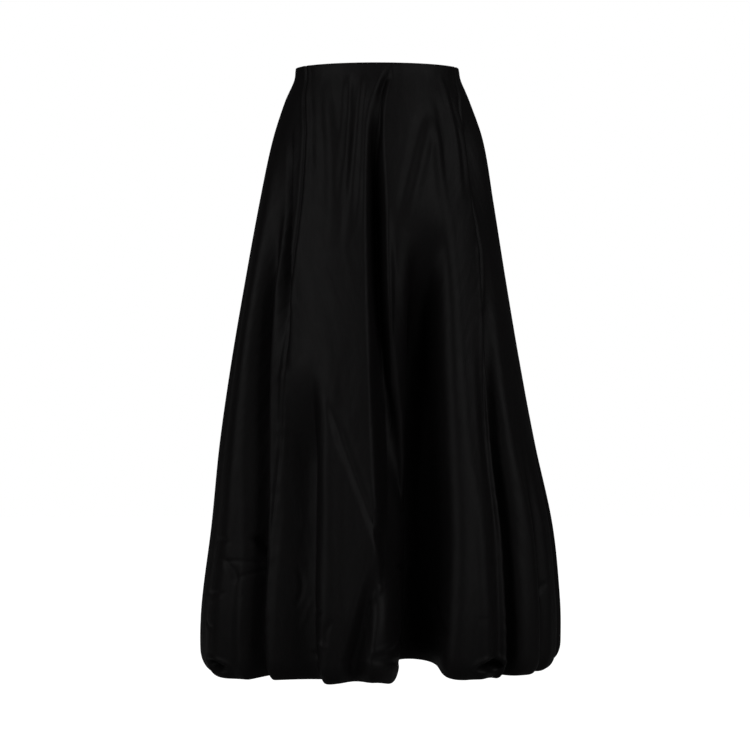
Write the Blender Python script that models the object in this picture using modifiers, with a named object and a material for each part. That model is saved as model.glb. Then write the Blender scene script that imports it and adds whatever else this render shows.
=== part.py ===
# A long balloon skirt of black satin: a fitted waist, a flared front and two back panels
# that hang in deep soft folds, and a full hem that rolls under and is turned up inside.
# Metres, +Z up, the front faces -Y.  The origin is the centre of the waist's top edge.

import bpy
import bmesh
from math import asin, atan2, cos, degrees, hypot, pi, radians, sin
from mathutils import Matrix

COLLECTION = "balloon_skirt"

# Cloth
WALL = 0.0016                 # thickness of the satin wall
SEAM_GAP = 0.00034            # space between two panels at a seam

# Half sizes of the skirt's outline, seen level, at a row of heights below the waist
SECTION_COLUMNS = ("height", "left", "right", "front", "back")
SECTIONS = (
    (0.000, 0.1215, 0.1235, 0.092, 0.094),
    (-0.018, 0.124, 0.127, 0.0955, 0.097),
    (-0.050, 0.138, 0.141, 0.1045, 0.108),
    (-0.110, 0.157, 0.161, 0.120, 0.127),
    (-0.200, 0.176, 0.176, 0.138, 0.149),
    (-0.320, 0.198, 0.195, 0.158, 0.170),
    (-0.450, 0.220, 0.217, 0.180, 0.192),
    (-0.570, 0.237, 0.240, 0.200, 0.213),
    (-0.690, 0.249, 0.266, 0.220, 0.234),
    (-0.800, 0.263, 0.277, 0.237, 0.252),
    (-0.860, 0.266, 0.278, 0.241, 0.256),
    (-0.920, 0.263, 0.275, 0.241, 0.256),
)

# Angles round the skirt are in degrees from the centre front, towards the viewer's right
SEAM_COLUMNS = ("height", "left", "right")
SEAMS = (
    (0.00, -60, 72),
    (-0.05, -51, 62),
    (-0.10, -43, 59),
    (-0.20, -39, 57),
    (-0.32, -39, 53),
    (-0.46, -38, 47),
    (-0.60, -40, 44.5),
    (-0.75, -41, 43.7),
    (-0.92, -41, 43),
)
CENTRE_BACK = 180

# A fold is a trough, or a ridge where its depth is less than nothing.  Its line passes three
# angles at PATH_HEIGHTS, it begins at "top", is full at "deep" and fades out at "end", and
# "left" and "right" are the degrees from its line to either shoulder.  "lift" is how far it
# draws the hem up, "curl" rounds its shoulders over it, until at 1 its sides stand upright,
# and "aim" turns the way in, in degrees from the way to the middle.
PATH_HEIGHTS = (-0.15, -0.50, -0.88)
TO_HEM = -9.0                 # an "end" for a fold that runs on to the hem
AIM_REACH = 30.0              # degrees from a fold's line at which its "aim" has faded
FOLD_COLUMNS = ("high", "mid", "low", "top", "deep", "end", "left", "right",
                "depth", "lift", "curl", "aim")
FRONT_FOLDS = (
    (-51, -36, -36, -0.08, -0.28, -0.50, 7, 7, 0.016, 0.000, 0.0, 0),
    (-51, -36, -36, -0.09, -0.20, -0.34, 24, 8, 0.011, 0.000, 0.0, 0),
    (-58.5, -51, -45, -0.18, -0.44, TO_HEM, 7.5, 8, 0.034, 0.006, 0.0, 0),
    (-46, -43.5, -42, -0.34, -0.50, TO_HEM, 10, 7, 0.008, 0.000, 0.0, 0),
    (-28, -25.5, -21.5, -0.44, -0.60, TO_HEM, 22, 5, 0.030, 0.000, 0.0, 0),
    (-6.5, -6.5, -6.3, -0.72, -0.82, TO_HEM, 4, 7, 0.020, 0.000, 0.0, 0),
    (-2, 2, 7, -0.01, -0.22, -1.30, 5.5, 6, 0.040, 0.000, 0.0, 0),
    (9.5, 8.5, 8, -0.20, -0.58, TO_HEM, 9.5, 15, 0.052, 0.000, 0.0, 0),
    (25.5, 20, 14, -0.21, -0.46, TO_HEM, 14.5, 15.5, 0.100, 0.020, 1.0, -7),
    (61, 50.5, 47.5, -0.24, -0.66, TO_HEM, 5, 8.5, 0.032, 0.001, 0.8, 0),
    (57.5, 53, 53, -0.03, -0.13, -0.30, 8, 26, 0.012, 0.000, 0.0, 0),
    (66, 65, 63, -0.48, -0.75, TO_HEM, 5, 5, 0.010, 0.001, 0.0, 0),
    (83, 83, 81, -0.45, -0.86, TO_HEM, 8, 8, 0.018, 0.020, 0.5, 0),
    (4.5, 4.5, 4.5, -0.70, -0.80, TO_HEM, 5, 4, 0.000, -0.010, 0.0, 0),
    (-68, -61, -62, -0.10, -0.45, TO_HEM, 15, 7, -0.009, 0.000, 0.0, 0),
    (-22, -18, -15.5, -0.40, -0.62, TO_HEM, 5, 6, -0.007, -0.002, 0.0, 0),
    (36, 31.5, 24.5, -0.14, -0.50, TO_HEM, 5, 6, -0.006, 0.000, 0.0, 0),
    (60, 57, 57, -0.40, -0.66, TO_HEM, 4, 4, -0.004, 0.000, 0.0, 0),
)
BACK_FOLDS = (
    (103, 103, 101, -0.22, -0.66, TO_HEM, 8, 7, 0.030, 0.008, 0.6, 0),
    (124, 122, 125, -0.10, -0.45, TO_HEM, 8, 9, 0.020, 0.004, 0.3, 0),
    (147, 146, 149, -0.16, -0.62, TO_HEM, 9, 7, 0.060, 0.012, 1.0, 5),
    (170, 169, 167, -0.30, -0.72, TO_HEM, 6, 6, 0.014, 0.003, 0.0, 0),
    (192, 194, 197, -0.20, -0.62, TO_HEM, 6, 8, 0.032, 0.006, 0.6, 0),
    (217, 215, 214, -0.12, -0.50, TO_HEM, 9, 9, 0.022, 0.004, 0.3, 0),
    (239, 241, 238, -0.18, -0.64, TO_HEM, 6, 9, 0.052, 0.012, 0.9, -5),
    (262, 262, 264, -0.28, -0.70, TO_HEM, 6, 6, 0.018, 0.005, 0.3, 0),
)

# Hem: the wall rounds inward under itself and runs up inside to a turned edge.
# Its lowest line, before the folds draw it up, by the angle round the skirt
HEM_COLUMNS = ("angle", "height")
HEM_LINE = (
    (180, -0.889),
    (120, -0.891),
    (88, -0.894),
    (65, -0.902),
    (30, -0.903),
    (0, -0.904),
    (-30, -0.905),
    (-57, -0.909),
    (-90, -0.903),
    (-125, -0.893),
    (-180, -0.889),
)
HEM_MIDDLE = -0.900           # height at which the folds' lift is read
ROLL_DROP = 0.030             # height of the rounding
ROLL_REACH = 0.034            # how far in the rounding carries the cloth
TURN_UP = 0.050               # height of the cloth inside, above the lowest line
TURN_IN = 0.006               # how far it leans in on the way up
UNDER_SPREAD = 240.0          # degrees of turn for each metre of a fold's depth, which keep
                              # the cloth inside a fold clear of the fold's own sides

# Rows and columns of each panel's wall
WALL_ROWS = 18
ROLL_ROWS = 5
TURN_ROWS = 1
WAIST_ROWS = (0.0, -0.018, -0.045)   # the zip slider is seated on the first
FRONT_COLUMNS = 82
BACK_COLUMNS = 40
EDGE_COLUMN = 0.0008          # narrow column along each seam, so that the two edges lie in line
MEASURED_HEIGHT = -0.80       # the other columns are equal widths of cloth at this height

# Zip of the centre back seam: a fixed slider, and a pull that swings on its bridge
SLIDER_SIZE = (0.0070, 0.0024, 0.0105)     # across, out from the cloth, along it
SLIDER_TAPER = 0.72                        # the lower end's share of the width
SLIDER_DROP = 0.0125                       # from the waist edge down to the bridge
AXIS_RISE = 0.0013                         # bridge axis above the slider
BRIDGE_RADIUS = 0.0020
BRIDGE_WIRE = 0.00045
PULL_THICK = 0.0010
PULL_SIZE = (0.0044, 0.0190)               # width, and length below the axis
PULL_CLEAR = 0.0006                        # between the pull's tip and the cloth
PULL_BAR = 0.0007                          # half height of the bar under the bridge
EYE_SIZE = (0.0026, 0.0030)                # hole that the bridge passes through
PULL_CORNER = 0.0011


def smooth(value):
    value = min(max(value, 0.0), 1.0)
    return value * value * (3.0 - 2.0 * value)


def read_table(rows, column, columns, place):
    """Value of a named column, on a smooth curve through rows whose first column falls."""
    at = columns.index(column)
    places = [row[0] for row in rows]
    values = [row[at] for row in rows]
    place = min(max(place, places[-1]), places[0])
    last = len(rows) - 1
    low = next(i for i in range(last) if place >= places[i + 1])

    def slope(i):
        before, after = max(i - 1, 0), min(i + 1, last)
        return (values[after] - values[before]) / (places[after] - places[before])

    span = places[low + 1] - places[low]
    t = (place - places[low]) / span
    rise = values[low + 1] - values[low]
    start, finish = slope(low) * span, slope(low + 1) * span
    bend = start + finish - 2.0 * rise
    return values[low] + t * (start + t * (3.0 * rise - 2.0 * start - finish + t * bend))


def fold_line(fold, height):
    """Angle of a fold's line at a height, on a parabola through its three angles."""
    high, mid, low = PATH_HEIGHTS
    h = min(max(height, low), 0.0)
    return (fold["high"] * (h - mid) * (h - low) / ((high - mid) * (high - low))
            + fold["mid"] * (h - high) * (h - low) / ((mid - high) * (mid - low))
            + fold["low"] * (h - high) * (h - mid) / ((low - high) * (low - mid)))


def fold_growth(fold, height):
    """How much of its full depth a fold has at a height."""
    grown = smooth((fold["top"] - height) / (fold["top"] - fold["deep"]))
    if fold["end"] > TO_HEM:
        grown *= 1.0 - smooth((fold["deep"] - height) / (fold["deep"] - fold["end"]))
    return grown


FOLDS = [dict(zip(FOLD_COLUMNS, row)) for row in FRONT_FOLDS + BACK_FOLDS]


def fold_effect(angle, height):
    """What the folds do at a place: depth, hem lift, slide along the cloth's line and the
    turns, in degrees, of the way in and of the hem's way under."""
    effect = {"depth": 0.0, "lift": 0.0, "slide": 0.0, "aim": 0.0, "under": 0.0}
    for fold in FOLDS:
        away = (angle - fold_line(fold, height) + 180.0) % 360.0 - 180.0
        grown = fold_growth(fold, height)
        effect["aim"] += fold["aim"] * cos(min(abs(away) / AIM_REACH, 1.0) * pi / 2.0) ** 2
        width = fold["right"] if away > 0.0 else fold["left"]
        if grown == 0.0 or abs(away) >= width:
            continue
        place = away / width
        share = grown * cos(place * pi / 2.0) ** 2
        effect["depth"] += share * fold["depth"]
        effect["lift"] += share * fold["lift"]
        effect["slide"] += grown * fold["curl"] * width * sin(2.0 * pi * place) / (2.0 * pi)
        effect["under"] -= grown * UNDER_SPREAD * fold["depth"] * sin(pi * place)
    return effect


def way_in(turn):
    """Level direction into the skirt, for an angle round it."""
    return -sin(radians(turn)), cos(radians(turn))


def wall_point(angle, height):
    """A point of the cloth's middle face."""
    effect = fold_effect(angle, height)
    turn = radians(angle + effect["slide"])
    across = read_table(SECTIONS, "right" if sin(turn) > 0.0 else "left", SECTION_COLUMNS, height)
    along = read_table(SECTIONS, "front" if cos(turn) > 0.0 else "back", SECTION_COLUMNS, height)
    inward = way_in(angle + effect["aim"])
    return (across * sin(turn) + inward[0] * effect["depth"],
            -along * cos(turn) + inward[1] * effect["depth"], height)


def hem_height(angle):
    """Lowest line of the hem at an angle."""
    plain = read_table(HEM_LINE, "height", HEM_COLUMNS, (angle + 180.0) % 360.0 - 180.0)
    return plain + fold_effect(angle, HEM_MIDDLE)["lift"]


def wall_height(row, rounding):
    """Height of a row of the wall: the waist's own rows, then even steps to the rounding."""
    if row < len(WAIST_ROWS):
        return WAIST_ROWS[row]
    last_waist = len(WAIST_ROWS) - 1
    share = (row - last_waist) / (WALL_ROWS - last_waist)
    return WAIST_ROWS[last_waist] + (rounding - WAIST_ROWS[last_waist]) * share


def column_point(angle_at, row):
    """A point of one column of a panel, counted from the waist down, under and up inside."""
    rounding = hem_height(angle_at(HEM_MIDDLE)) + ROLL_DROP
    if row <= WALL_ROWS:
        height = wall_height(row, rounding)
        return wall_point(angle_at(height), height)
    angle = angle_at(rounding)
    x, y, _ = wall_point(angle, rounding)
    effect = fold_effect(angle, rounding)
    inward = way_in(angle + effect["aim"] + effect["under"])
    if row <= WALL_ROWS + ROLL_ROWS:
        turn = pi * (row - WALL_ROWS) / ROLL_ROWS
        reach = ROLL_REACH * (1.0 - cos(turn)) / 2.0
        height = rounding - ROLL_DROP * sin(turn)
    else:
        share = (row - WALL_ROWS - ROLL_ROWS) / TURN_ROWS
        reach = ROLL_REACH + TURN_IN * share
        height = rounding + (TURN_UP - ROLL_DROP) * share
    return (x + inward[0] * reach, y + inward[1] * reach, height)


def even_shares(start, finish, count):
    """Places of the columns between two seams, from 0 to 1, at equal widths of cloth."""
    steps = 40 * count
    angles = [start + (finish - start) * i / steps for i in range(steps + 1)]
    points = [wall_point(angle, MEASURED_HEIGHT) for angle in angles]
    lengths = [0.0]
    for here, there in zip(points, points[1:]):
        lengths.append(lengths[-1] + hypot(there[0] - here[0], there[1] - here[1]))
    edge = EDGE_COLUMN / lengths[-1]
    places = [0.0, edge] + [i / count for i in range(1, count)] + [1.0 - edge, 1.0]
    shares = []
    for place in places:
        wanted = lengths[-1] * place
        step = next((k for k in range(steps) if lengths[k + 1] >= wanted), steps - 1)
        part = (wanted - lengths[step]) / (lengths[step + 1] - lengths[step])
        shares.append((step + part) / steps)
    return shares


def seam_angle(name, height):
    if name == "centre_back":
        return CENTRE_BACK
    if name == "centre_back_left":
        return CENTRE_BACK - 360
    return read_table(SEAMS, name, SEAM_COLUMNS, height)


def between_seams(start, finish, share):
    """Angle of a column at any height, half a seam gap clear of either seam."""
    def angle_at(height):
        first, last = seam_angle(start, height), seam_angle(finish, height)
        radius = read_table(SECTIONS, "front", SECTION_COLUMNS, height)
        clear = degrees(SEAM_GAP / 2.0 / radius)
        return first + clear + (last - first - 2.0 * clear) * share
    return angle_at


def make_material(name, colour, roughness, metallic):
    material = bpy.data.materials.new(name)
    material.use_nodes = True
    shader = material.node_tree.nodes["Principled BSDF"]
    shader.inputs["Base Color"].default_value = (*colour, 1.0)
    shader.inputs["Roughness"].default_value = roughness
    shader.inputs["Metallic"].default_value = metallic
    material.diffuse_color = (*colour, 1.0)
    return material


def make_object(name, mesh, material, collection):
    made = bpy.data.objects.new(name, mesh)
    mesh.materials.append(material)
    collection.objects.link(made)
    return made


def make_panel(name, start, finish, columns, material, collection):
    """A panel: a flat grid laid on the skirt's form between two seams, then thickened."""
    rows = WALL_ROWS + ROLL_ROWS + TURN_ROWS
    shares = even_shares(seam_angle(start, MEASURED_HEIGHT), seam_angle(finish, MEASURED_HEIGHT), columns)
    steps = len(shares) - 1
    grid = bmesh.new()
    bmesh.ops.create_grid(grid, x_segments=steps, y_segments=rows, size=0.5)
    for vertex in grid.verts:
        column = round((vertex.co.x + 0.5) * steps)
        row = round((0.5 - vertex.co.y) * rows)
        vertex.co = column_point(between_seams(start, finish, shares[column]), row)
    mesh = bpy.data.meshes.new(name)
    grid.to_mesh(mesh)
    grid.free()
    mesh.shade_smooth()
    panel = make_object(name, mesh, material, collection)
    wall = panel.modifiers.new("wall", "SOLIDIFY")
    wall.thickness = WALL
    wall.offset = 0.0
    return panel


def centre_back_face(height):
    """The cloth's outer face at the centre back, on the straight rows of the waist."""
    upper = next(i for i in range(len(WAIST_ROWS) - 1) if height >= WAIST_ROWS[i + 1])
    above, below = (wall_point(CENTRE_BACK, WAIST_ROWS[i]) for i in (upper, upper + 1))
    share = (height - above[2]) / (below[2] - above[2])
    return above[1] + (below[1] - above[1]) * share + WALL / 2.0


def zip_seat():
    """The bridge axis, and the leans of the slider on the cloth and of the pull below it."""
    top, drop = centre_back_face(0.0), WAIST_ROWS[1]
    lean = atan2(centre_back_face(drop) - top, -drop)
    rise = SEAM_GAP + SLIDER_SIZE[1] + AXIS_RISE
    y = centre_back_face(-SLIDER_DROP) + rise * cos(lean)
    z = -SLIDER_DROP + rise * sin(lean)
    length = PULL_SIZE[1]
    tip = centre_back_face(z - length) + PULL_CLEAR + PULL_THICK / 2.0
    return (0.0, y, z), lean, max(lean, asin((tip - y) / length))


def add_to_mesh(mesh_maker, name):
    shape = bmesh.new()
    mesh_maker(shape)
    mesh = bpy.data.meshes.new(name)
    shape.to_mesh(mesh)
    shape.free()
    return mesh


def slider_shape(shape):
    """A tapered block below the bridge's axis, in the slider's own directions."""
    wide, thick, tall = SLIDER_SIZE
    bmesh.ops.create_cube(shape, size=1.0)
    bmesh.ops.scale(shape, vec=(wide, thick, tall), verts=shape.verts)
    bmesh.ops.translate(shape, vec=(0.0, -AXIS_RISE - thick / 2.0, 0.0), verts=shape.verts)
    for vertex in shape.verts:
        if vertex.co.z < 0.0:
            vertex.co.x *= SLIDER_TAPER


def bridge_shape(shape):
    """Half a ring of wire over the axis, with legs that run down into the slider."""
    ring = bmesh.ops.create_circle(shape, segments=10, radius=BRIDGE_WIRE)["verts"]
    bmesh.ops.translate(shape, vec=(0.0, 0.0, BRIDGE_RADIUS), verts=ring)
    bmesh.ops.rotate(shape, cent=(0.0, 0.0, BRIDGE_RADIUS), verts=ring,
                     matrix=Matrix.Rotation(pi / 2.0, 3, "X"))
    leg = AXIS_RISE + SLIDER_SIZE[1] / 2.0
    bmesh.ops.translate(shape, vec=(0.0, -leg, 0.0), verts=ring)
    straight = bmesh.ops.extrude_edge_only(shape, edges=shape.edges[:])["geom"]
    moved = [item for item in straight if isinstance(item, bmesh.types.BMVert)]
    edges = [item for item in straight if isinstance(item, bmesh.types.BMEdge)]
    bmesh.ops.translate(shape, vec=(0.0, leg, 0.0), verts=moved)
    turned = bmesh.ops.spin(shape, geom=edges, cent=(0, 0, 0), axis=(-1, 0, 0), angle=pi, steps=10)
    last = turned["geom_last"]
    down = bmesh.ops.extrude_edge_only(
        shape, edges=[item for item in last if isinstance(item, bmesh.types.BMEdge)])["geom"]
    bmesh.ops.translate(shape, vec=(0.0, -leg, 0.0),
                        verts=[item for item in down if isinstance(item, bmesh.types.BMVert)])
    bmesh.ops.remove_doubles(shape, verts=shape.verts, dist=0.00001)
    bmesh.ops.holes_fill(shape, edges=shape.edges, sides=0)
    bmesh.ops.recalc_face_normals(shape, faces=shape.faces)


def make_slider(seat, lean, material, parts, cutters):
    slider = make_object("zip_slider", add_to_mesh(slider_shape, "zip_slider"), material, parts)
    bridge = make_object("bridge_guide", add_to_mesh(bridge_shape, "bridge_guide"), material, cutters)
    for made in (slider, bridge):
        made.location = seat
        made.rotation_euler = (lean, 0.0, 0.0)
    bridge.hide_render = True
    bridge.display_type = "WIRE"
    edges = slider.modifiers.new("soft edges", "BEVEL")
    edges.width = 0.0006
    edges.segments = 2
    joined = slider.modifiers.new("bridge", "BOOLEAN")
    joined.operation = "UNION"
    joined.solver = "EXACT"
    joined.object = bridge


def round_corners(half_width, low, high, radius, steps=4):
    """Corner points of an upright rectangle with rounded corners."""
    corners = ((half_width, high, 0), (-half_width, high, 1), (-half_width, low, 2), (half_width, low, 3))
    points = []
    for x, y, quarter in corners:
        cx = x - radius if x > 0.0 else x + radius
        cy = y - radius if y == high else y + radius
        for i in range(steps + 1):
            turn = pi / 2.0 * (quarter + i / steps)
            points.append((cx + radius * cos(turn), cy + radius * sin(turn)))
    return points


def make_pull(seat, lean, material, collection):
    """A flat tab with an eye at its upper end; its origin lies on the bridge's axis."""
    width, length = PULL_SIZE
    eye_width, eye_length = EYE_SIZE
    outline = bpy.data.curves.new("zip_pull", "CURVE")
    outline.dimensions = "2D"
    outline.fill_mode = "BOTH"
    outline.extrude = PULL_THICK / 2.0
    shapes = (round_corners(width / 2.0, -length, PULL_BAR, PULL_CORNER),
              round_corners(eye_width / 2.0, -PULL_BAR - eye_length, -PULL_BAR, PULL_CORNER / 2.0))
    for points in shapes:
        spline = outline.splines.new("POLY")
        spline.points.add(len(points) - 1)
        for place, (x, y) in zip(spline.points, points):
            place.co = (x, y, 0.0, 1.0)
        spline.use_cyclic_u = True
    pull = bpy.data.objects.new("zip_pull", outline)
    outline.materials.append(material)
    collection.objects.link(pull)
    pull.location = seat
    pull.rotation_euler = (pi / 2.0 + lean, 0.0, 0.0)


def main():
    for old in list(bpy.data.objects):
        bpy.data.objects.remove(old, do_unlink=True)
    parts = bpy.data.collections.new(COLLECTION)
    cutters = bpy.data.collections.new("cutters")
    for collection in (parts, cutters):
        bpy.context.scene.collection.children.link(collection)

    satin = {name: make_material("satin_" + name, (0.006, 0.0055, 0.0058), 0.40, 0.0)
             for name in ("front", "back_left", "back_right")}
    slider_metal = make_material("slider_metal", (0.012, 0.012, 0.012), 0.35, 0.6)
    pull_metal = make_material("pull_metal", (0.014, 0.014, 0.014), 0.30, 0.6)

    make_panel("front_panel", "left", "right", FRONT_COLUMNS, satin["front"], parts)
    make_panel("back_panel_right", "right", "centre_back", BACK_COLUMNS, satin["back_right"], parts)
    make_panel("back_panel_left", "centre_back_left", "left", BACK_COLUMNS, satin["back_left"], parts)
    seat, slider_lean, pull_lean = zip_seat()
    make_slider(seat, slider_lean, slider_metal, parts, cutters)
    make_pull(seat, pull_lean, pull_metal, parts)


main()
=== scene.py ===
from math import cos, pi, radians, sin

import bmesh
import bpy
import numpy as np
from mathutils import Matrix, Vector


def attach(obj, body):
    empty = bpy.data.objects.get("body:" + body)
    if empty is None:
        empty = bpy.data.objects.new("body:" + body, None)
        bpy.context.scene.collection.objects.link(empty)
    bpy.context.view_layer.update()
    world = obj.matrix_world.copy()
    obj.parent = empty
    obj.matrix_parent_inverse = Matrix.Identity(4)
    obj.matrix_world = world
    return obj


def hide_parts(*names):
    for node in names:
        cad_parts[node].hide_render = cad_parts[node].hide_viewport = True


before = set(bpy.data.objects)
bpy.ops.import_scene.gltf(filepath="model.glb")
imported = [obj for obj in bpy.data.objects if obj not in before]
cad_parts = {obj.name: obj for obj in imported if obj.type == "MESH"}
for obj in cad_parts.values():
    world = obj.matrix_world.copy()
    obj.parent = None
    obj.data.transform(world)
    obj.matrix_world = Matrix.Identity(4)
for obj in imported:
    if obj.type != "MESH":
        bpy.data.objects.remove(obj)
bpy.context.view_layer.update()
print("loaded", sorted(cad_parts))

# The skirt's form follows the tables of its solids, with some folds drawn sharper or deeper
form = {
    "wall": 0.0016,                # how thick the cloth stands
    "sectionColumns": ("height", "left", "right", "front", "back"),   # half sizes, seen level
    "sections": (
        (0.000, 0.1215, 0.1235, 0.092, 0.094),
        (-0.018, 0.124, 0.127, 0.0955, 0.097),
        (-0.050, 0.138, 0.141, 0.1045, 0.108),
        (-0.110, 0.157, 0.161, 0.120, 0.127),
        (-0.200, 0.176, 0.176, 0.138, 0.149),
        (-0.320, 0.198, 0.195, 0.158, 0.170),
        (-0.450, 0.220, 0.217, 0.180, 0.192),
        (-0.570, 0.237, 0.240, 0.200, 0.213),
        (-0.690, 0.249, 0.266, 0.220, 0.234),
        (-0.800, 0.263, 0.277, 0.237, 0.252),
        (-0.860, 0.266, 0.278, 0.241, 0.256),
        (-0.920, 0.263, 0.275, 0.241, 0.256),
    ),
    "seamColumns": ("height", "left", "right"),   # angles of the two front seams
    "seams": (
        (0.00, -60, 72),
        (-0.05, -51, 62),
        (-0.10, -43, 59),
        (-0.20, -39, 57),
        (-0.32, -39, 53),
        (-0.46, -38, 47),
        (-0.60, -40, 44.5),
        (-0.75, -41, 43.7),
        (-0.92, -41, 43),
    ),
    "hemColumns": ("angle", "height"),
    "hemLine": (
        (180, -0.889),
        (120, -0.891),
        (88, -0.894),
        (65, -0.902),
        (30, -0.903),
        (0, -0.904),
        (-30, -0.905),
        (-57, -0.909),
        (-90, -0.903),
        (-125, -0.893),
        (-180, -0.889),
    ),
    "hemMiddle": -0.900,           # height at which the folds' lift of the hem is read
    "rollDrop": 0.030,             # the hem rounds down and in by so much
    "rollReach": 0.034,
    "turnUp": 0.050,               # then it stands up inside, leaning in a little
    "turnIn": 0.006,
    "underSpread": 240.0,          # degrees of turn under the hem, for each metre of a fold's depth
    "aimReach": 30.0,              # degrees from a fold's line at which its way in has faded
    "toHem": -9.0,                 # the end of a fold that runs on to the hem
    "pathHeights": (-0.15, -0.50, -0.88),
    # A fold runs down past three angles; its depth is less than nothing where it is a ridge
    "foldColumns": ("high", "mid", "low", "top", "deep", "end", "left", "right",
                    "depth", "lift", "curl", "aim"),
    "folds": (
        (-51, -36, -36, -0.08, -0.28, -0.50, 7, 3, 0.018, 0.000, 0.0, 0),
        (-58.5, -50.5, -44.5, -0.18, -0.44, -9.0, 6.5, 6.5, 0.034, 0.006, 0.0, 0),
        (-51, -36, -36, -0.09, -0.20, -0.34, 24, 3, 0.013, 0.000, 0.0, 0),
        (-44, -41.5, -40, -0.34, -0.50, -9.0, 10, 4.0, 0.004, 0.000, 0.0, 0),
        (-45, -45, -45, -0.60, -0.80, -9.0, 24, 4, 0.007, 0.000, 0.0, 0),
        (-28, -26.2, -22.5, -0.44, -0.60, -9.0, 24, 6.0, 0.040, 0.000, 0.0, 0),
        (-1.2, 2, 7, -0.04, -0.25, -1.30, 5, 6, 0.043, 0.000, 0.0, 0),
        (25.5, 20, 14, -0.21, -0.46, -9.0, 14.5, 15.5, 0.100, 0.020, 1.0, -7),
        (9.5, 8.5, 8, -0.20, -0.58, -9.0, 9.5, 15, 0.052, 0.000, 0.0, 0),
        (2, 6.5, 9, -0.20, -0.34, -0.50, 2.5, 5, -0.008, 0.000, 0.0, 0),
        (60.5, 48.7, 45.1, -0.26, -0.66, -9.0, 2.6, 9.5, 0.036, 0.001, 0.8, 0),
        (56, 45.1, 41.1, -0.38, -0.56, -9.0, 6.0, 2.6, 0.009, 0.000, 0.0, 0),
        (57.5, 53, 53, -0.03, -0.13, -0.30, 4, 26, 0.018, 0.000, 0.0, 0),
        (33, 13, -8, -0.70, -0.82, -9.0, 4, 6.5, 0.022, 0.000, 0.0, 0),
        (66, 65, 63, -0.48, -0.75, -9.0, 5, 5, 0.010, 0.001, 0.0, 0),
        (83, 83, 81, -0.45, -0.86, -9.0, 8, 8, 0.018, 0.020, 0.5, 0),
        (4.5, 4.5, 4.5, -0.70, -0.80, -9.0, 5, 4, 0.000, -0.010, 0.0, 0),
        (-68, -60, -60, -0.10, -0.45, -9.0, 15, 6, -0.011, 0.000, 0.0, 0),
        (-22, -18, -15.5, -0.40, -0.62, -9.0, 4, 6, -0.007, -0.002, 0.0, 0),
        (36, 31.5, 24.5, -0.14, -0.50, -9.0, 4, 5, -0.005, 0.000, 0.0, 0),
        (38, 35, 34.5, -0.45, -0.70, -9.0, 3, 3.5, -0.003, 0.000, 0.0, 0),
        (60, 57, 57, -0.40, -0.66, -9.0, 4, 4, -0.004, 0.000, 0.0, 0),
        (103, 103, 101, -0.22, -0.66, -9.0, 8, 7, 0.030, 0.008, 0.6, 0),
        (124, 122, 125, -0.10, -0.45, -9.0, 8, 9, 0.020, 0.004, 0.3, 0),
        (147, 146, 149, -0.16, -0.62, -9.0, 9, 7, 0.060, 0.012, 1.0, 5),
        (170, 169, 167, -0.30, -0.72, -9.0, 6, 6, 0.014, 0.003, 0.0, 0),
        (192, 194, 197, -0.20, -0.62, -9.0, 6, 8, 0.032, 0.006, 0.6, 0),
        (217, 215, 214, -0.12, -0.50, -9.0, 9, 9, 0.022, 0.004, 0.3, 0),
        (239, 241, 238, -0.18, -0.64, -9.0, 6, 9, 0.052, 0.012, 0.9, -5),
        (262, 262, 264, -0.28, -0.70, -9.0, 6, 6, 0.018, 0.005, 0.3, 0),
    ),
}
form["folds"] = [dict(zip(form["foldColumns"], row)) for row in form["folds"]]

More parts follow.
